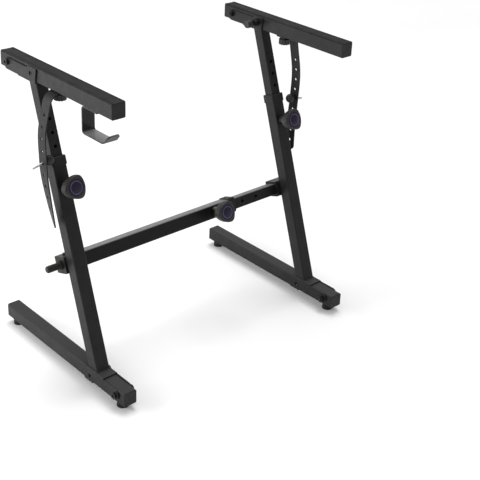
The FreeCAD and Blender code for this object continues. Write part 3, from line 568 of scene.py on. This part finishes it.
def strap_pin(side):
    """Steel pin through the strap with a black ball on the leg's side."""
    out = SIDES[side]
    low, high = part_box(side + "_strap_pin")
    inner = low.x if out > 0 else high.x
    length = high.x - low.x
    start = 2 * BALL - PIN_IN_BALL
    flange = start + PIN_FLANGE_THICKNESS
    hole = Vector((inner + out * flange, (low.y + high.y) / 2, (low.z + high.z) / 2))
    tilt = math.radians(PIN_TILT)
    direction = Vector((out * math.cos(tilt), 0, -math.sin(tilt)))
    place = toward(direction, hole - direction * flange, Vector((0, 1, 0)))
    ball = arc((0, BALL), BALL, -90, 90, BALL_STEPS)
    ball[0] = (0, ball[0][1])
    ball[-1] = (0, ball[-1][1])
    ball_piece = finished(side + "_strap_pin_ball", lathe(ball, BALL_TURNS, place),
                          "knob_plastic", side + "_arm")
    shaft = [(0, BALL), (PIN_SHAFT, BALL), (PIN_SHAFT, start - PIN_BEVEL),
             (PIN_FLANGE - PIN_BEVEL, start - PIN_BEVEL), (PIN_FLANGE, start),
             (PIN_FLANGE, flange - PIN_BEVEL), (PIN_FLANGE - PIN_BEVEL, flange),
             (PIN_SHAFT, flange), (PIN_SHAFT, length - PIN_TIP_START)]
    shaft += arc((PIN_SHAFT - PIN_TIP_ROUND, length - PIN_TIP_ROUND), PIN_TIP_ROUND, 0, 90,
                 ROUND_STEPS)
    shaft.append((0, length))
    shaft_piece = finished(side + "_strap_pin_shaft", lathe(shaft, PIN_TURNS, place),
                           "bright_steel", side + "_arm")
    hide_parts(side + "_strap_pin")
    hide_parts(side + "_strap_pin")


# ---- arm pads ------------------------------------------------------------------------------
def pad_height(across, width):
    """Height of the pad's top: lengthwise ribs near both edges and a low crown between."""
    edge = width / 2 - abs(across)
    height = PAD_VALLEY + PAD_CROWN * (1 - (2 * across / width) ** 2)
    for rib in PAD_RIBS:
        height += (PAD_TOP - PAD_VALLEY) * math.exp(-((edge - rib) / PAD_RIB_WIDTH) ** 2)
    if edge < PAD_ROUND:
        drop = PAD_ROUND - math.sqrt(PAD_ROUND ** 2 - (PAD_ROUND - edge) ** 2)
        height = min(height, PAD_TOP - drop)
    return height


def arm_pad(side):
    """Ribbed foam rubber strip along the arm's top."""
    low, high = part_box(side + "_arm_pad")
    width = high.x - low.x
    middle = (low.x + high.x) / 2
    shape = bmesh.new()
    rows = []
    ends = [(low.y + inward, sink) for inward, sink in PAD_END_SINKS]
    ends += [(high.y - inward, sink) for inward, sink in reversed(PAD_END_SINKS)]
    for y, sink in ends:
        row = [shape.verts.new((low.x, y, low.z))]
        for step in range(PAD_STEPS + 1):
            across = width * (step / PAD_STEPS - 0.5)
            top = max(pad_height(across, width) - sink, PAD_THINNEST)
            row.append(shape.verts.new((middle + across, y, low.z + top)))
        row.append(shape.verts.new((high.x, y, low.z)))
        rows.append(row)
    for low_row, high_row in zip(rows, rows[1:]):
        join_rings(shape, low_row, high_row)
    shape.faces.new(rows[0])
    shape.faces.new(rows[-1])
    piece = finished(side + "_arm_pad_rubber", shape, "pad_rubber", side + "_arm")
    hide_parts(side + "_arm_pad")


# ---- weld beads ----------------------------------------------------------------------------
def bead(name, points, closed, radius, body):
    """Weld bead along a line of points: a low round ridge with close ripples."""
    route = Route([Vector(point) for point in points + (points[:1] if closed else [])])
    count = max(4, round(route.length / BEAD_STEP))
    shape = bmesh.new()
    rings = []
    for step in range(count if closed else count + 1):
        distance = route.length * step / count
        middle = route.at(distance)
        ahead = route.along(distance)
        ripple = sum(share * math.sin(step * turn) for share, turn in BEAD_RIPPLES)
        swell = radius * (1 + ripple)
        place = toward(ahead, middle, BEAD_ACROSS)
        ring = []
        for turn in range(BEAD_SIDES):
            angle = 2 * math.pi * turn / BEAD_SIDES
            ring.append(shape.verts.new(place @ Vector((swell * math.cos(angle),
                                                        swell * math.sin(angle), 0))))
        rings.append(ring)
    for low, high in zip(rings, rings[1:] + (rings[:1] if closed else [])):
        join_rings(shape, low, high)
    if not closed:
        shape.faces.new(rings[0])
        shape.faces.new(rings[-1])
    finished(name, shape, "powder_coat", body, BEAD_SHARP)


def leg_point(side, along, ahead, across=0.0):
    """Point by its place along a leg, in front of its middle line and across to +X."""
    lean = math.radians(LEG_LEAN)
    return Vector((SIDES[side] * LEG_X + across,
                   LEG_FOOT_Y + along * math.sin(lean) - ahead * math.cos(lean),
                   BASE_TOP + along * math.cos(lean) + ahead * math.sin(lean)))


def oblong(centre, half_x, half_y):
    """Closed line round a tube's foot, its corners cut."""
    points = []
    for x_sign, y_sign in ((1, 1), (-1, 1), (-1, -1), (1, -1)):
        near = (x_sign * (half_x - BEAD_CORNER), y_sign * half_y)
        far = (x_sign * half_x, y_sign * (half_y - BEAD_CORNER))
        for x, y in ((far, near) if x_sign == y_sign else (near, far)):
            points.append(centre + Vector((x, y, 0)))
    return points


def welds(side):
    """Beads at the outer leg's foot, the inner leg's head and the crossbar's socket."""
    lean = math.radians(LEG_LEAN)
    for name, level, (half_x, half_y, radius), body in (
            ("_foot_weld", WEB_TOP, FOOT_BEAD, "_frame"),
            ("_head_weld", WEB_BOTTOM, HEAD_BEAD, "_mast")):
        centre = leg_point(side, (level - BASE_TOP) / math.cos(lean), 0)
        bead(side + name, oblong(centre, half_x, half_y), True, radius, side + body)
    half_length, ahead, radius = SOCKET_BEAD
    for name, along in (("upper", CROSSBAR_STATION + SOCKET_HALF),
                        ("lower", CROSSBAR_STATION - SOCKET_HALF)):
        ends = [leg_point(side, along, ahead, across) for across in (-half_length, half_length)]
        bead(side + "_" + name + "_socket_weld", ends, False, radius, side + "_frame")


# ---- clamp knobs ---------------------------------------------------------------------------
def knob_outline(angle):
    """Distance from a clamp knob's axis to its three-lobed edge, at an angle about the axis."""
    third = 2 * math.pi / 3
    folded = abs((angle - math.pi + third / 2) % third - third / 2)
    offset = math.sqrt((KNOB_SIDE - KNOB_LOBE) ** 2 - 0.75 * KNOB_CIRCLE ** 2) - KNOB_CIRCLE / 2
    side_centre = Vector((-offset * math.cos(math.pi / 3), -offset * math.sin(math.pi / 3)))
    lobe_centre = Vector((KNOB_CIRCLE, 0))
    joint = side_centre + (lobe_centre - side_centre).normalized() * KNOB_SIDE
    if folded < math.atan2(joint.y, joint.x):
        aside = KNOB_CIRCLE * math.sin(folded)
        return KNOB_CIRCLE * math.cos(folded) + math.sqrt(KNOB_LOBE ** 2 - aside ** 2)
    along = -offset * math.cos(math.pi / 3 - folded)
    return along + math.sqrt(KNOB_SIDE ** 2 - offset ** 2 + along ** 2)


def knob(joint_name, body, node):
    """Moulded grip that flares from a round hub to three lobes, its screw, disc and ring."""
    joint = joints[joint_name]
    axis = Vector(joint["axis"]).normalized()
    origin = Vector(joint["pos_m"])
    reach = max((vertex.co - origin).dot(axis) for vertex in frame["nodes"][node].data.vertices)
    place = toward(axis, origin + axis * (reach - KNOB_REACH))
    shape = bmesh.new()
    angles = [2 * math.pi * turn / KNOB_TURNS for turn in range(KNOB_TURNS)]
    levels = []
    for height, lobed, inset in KNOB_LEVELS:
        radii = [KNOB_HUB + lobed * (knob_outline(angle) - KNOB_HUB) - inset * MM
                 for angle in angles]
        levels.append((radii, height))
    levels += [([radius * MM] * KNOB_TURNS, height) for radius, height in KNOB_SEAT]
    rings = []
    for radii, height in levels:
        rings.append([shape.verts.new((radius * math.cos(angle), radius * math.sin(angle),
                                       height * MM)) for angle, radius in zip(angles, radii)])
    for low, high in zip(rings, rings[1:]):
        join_rings(shape, low, high)
    shape.faces.new(rings[0])
    shape.faces.new(rings[-1])
    shape.transform(place)
    grip = finished(node + "_grip", shape, "knob_plastic", body)
    screw = lathe(metres(KNOB_SCREW), KNOB_SCREW_TURNS, place)
    screw_piece = finished(node + "_screw", screw, "bright_steel", body)
    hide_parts(node)
    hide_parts(node)

    disc = lathe(metres(KNOB_DISC), KNOB_DISC_TURNS, place)
    disc_piece = finished(node + "_disc", disc, "badge_violet", body)
    ring = lathe_ring(metres(KNOB_RING), KNOB_DISC_TURNS, place)
    ring_piece = finished(node + "_ring", ring, "ring_violet", body)
    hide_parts(node + "_badge")
    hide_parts(node + "_badge")


# ---- lock plungers -------------------------------------------------------------------------
def plunger(node, body, centre_x):
    """Ribbed pull knob on its steel lock pin."""
    low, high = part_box(node)
    out = 1 if low.x + high.x > 2 * centre_x else -1
    tip = Vector((low.x if out > 0 else high.x, (low.y + high.y) / 2, (low.z + high.z) / 2))
    place = toward((out, 0, 0), tip, Vector((0, 0, 1)))
    length = high.x - low.x
    radius = (high.z - low.z) / 2
    long = radius > PLUNGER_LONG_FROM
    grip_length = LONG_GRIP if long else SHORT_GRIP
    start = length - grip_length
    grip = [(0, start), (radius * 0.8, start), (radius * 0.9, start + GRIP_SHOULDER)]
    ribs = LONG_RIBS if long else 1
    pitch = (grip_length - RIBS_LOST) / ribs if long else SHORT_RIB
    for rib in range(ribs):
        foot = start + RIBS_START + rib * pitch
        grip += [(radius - RIB_DEPTH, foot), (radius, foot + 0.4 * pitch),
                 (radius, foot + 0.6 * pitch), (radius - RIB_DEPTH, foot + pitch)]
    grip += arc((radius - GRIP_ROUND_IN, length - GRIP_ROUND), GRIP_ROUND, 0, 90,
                ROUND_STEPS)
    grip += [(radius * 0.45, length), (radius * 0.4, length - GRIP_DIP), (0, length - GRIP_DIP)]
    grip_piece = finished(node + "_grip", lathe(grip, GRIP_TURNS, place), "knob_plastic", body)
    end = start + LOCK_PIN_IN_GRIP
    pin = [(0, 0), (LOCK_PIN_TIP, 0), (LOCK_PIN, LOCK_PIN_BEVEL), (LOCK_PIN, end), (0, end)]
    steel = "black_steel" if long else "bright_steel"
    pin_piece = finished(node + "_pin", lathe(pin, PIN_TURNS, place), steel, body)
    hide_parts(node)
    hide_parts(node)


# ---- stage ---------------------------------------------------------------------------------
def camera():
    """Camera near the photograph's viewpoint; its small shift suits the other views too."""
    data = bpy.data.cameras.new("camera")
    data.lens = CAMERA_LENS
    data.sensor_width = CAMERA_SENSOR
    data.shift_y = CAMERA_SHIFT
    data.clip_end = CAMERA_FAR
    item = bpy.data.objects.new("camera", data)
    bpy.context.scene.collection.objects.link(item)
    heading = math.radians(CAMERA_HEADING)
    drop = math.radians(CAMERA_DROP)
    roll = math.radians(CAMERA_ROLL)
    ahead = Vector((math.sin(heading) * math.cos(drop), math.cos(heading) * math.cos(drop),
                    -math.sin(drop)))
    level = Vector((math.cos(heading), -math.sin(heading), 0))
    above = level.cross(ahead)
    right = level * math.cos(roll) + above * math.sin(roll)
    up = above * math.cos(roll) - level * math.sin(roll)
    turn = Matrix((right, up, -ahead)).transposed().to_4x4()
    item.matrix_world = Matrix.Translation(CAMERA_PLACE) @ turn
    bpy.context.scene.camera = item


def softbox(name, place, aim, size, power):
    """Rectangular light that shines from its place toward its aim."""
    data = bpy.data.lights.new(name, "AREA")
    data.shape = "RECTANGLE"
    data.size, data.size_y = size
    data.energy = power
    item = bpy.data.objects.new(name, data)
    bpy.context.scene.collection.objects.link(item)
    item.location = place
    item.rotation_mode = "QUATERNION"
    item.rotation_quaternion = (Vector(aim) - Vector(place)).to_track_quat("-Z", "Y")


def studio():
    """White floor, even surroundings, a softbox at the left rear and a wide overhead light."""
    shape = bmesh.new()
    bmesh.ops.create_grid(shape, x_segments=1, y_segments=1, size=FLOOR_SIZE / 2)
    mesh = bpy.data.meshes.new("floor")
    shape.to_mesh(mesh)
    shape.free()
    made, tree, shader, place = material("floor")
    paper = ramp(tree, noise(tree, place, FLOOR_PATCHES),
                 zip(NOISE_MIDDLE, map(grey, FLOOR_TONES)))
    tree.links.new(paper, shader.inputs["Base Color"])
    shader.inputs["Roughness"].default_value = FLOOR_ROUGHNESS
    mesh.materials.append(made)
    floor = bpy.data.objects.new("floor", mesh)
    bpy.context.scene.collection.objects.link(floor)
    world = bpy.data.worlds.new("studio")
    world.use_nodes = True
    background = world.node_tree.nodes["Background"]
    background.inputs["Color"].default_value = (1, 1, 1, 1)
    background.inputs["Strength"].default_value = WORLD_STRENGTH
    bpy.context.scene.world = world
    softbox("key", KEY_PLACE, KEY_AIM, KEY_SIZE, KEY_POWER)
    sky = bpy.data.lights.new("overhead", "SUN")
    sky.energy = OVERHEAD_STRENGTH
    sky.angle = math.radians(OVERHEAD_SPREAD)
    item = bpy.data.objects.new("overhead", sky)
    item.rotation_mode = "QUATERNION"
    item.rotation_quaternion = (-Vector(OVERHEAD_PLACE)).to_track_quat("-Z", "Y")
    bpy.context.scene.collection.objects.link(item)
    bpy.context.scene.view_settings.view_transform = "Standard"


camera()
studio()
for side_name in SIDES:
    strap(side_name)
    strap_pin(side_name)
    arm_pad(side_name)
    welds(side_name)
    knob(side_name + "_knob_turn", side_name + "_knob", side_name + "_leg_knob")
    for place_name in ("upper", "lower"):
        plunger(side_name + "_" + place_name + "_plunger", side_name + "_" + place_name + "_lock",
                SIDES[side_name] * LEG_X)
knob("crossbar_knob_turn", "crossbar_knob", "crossbar_knob")
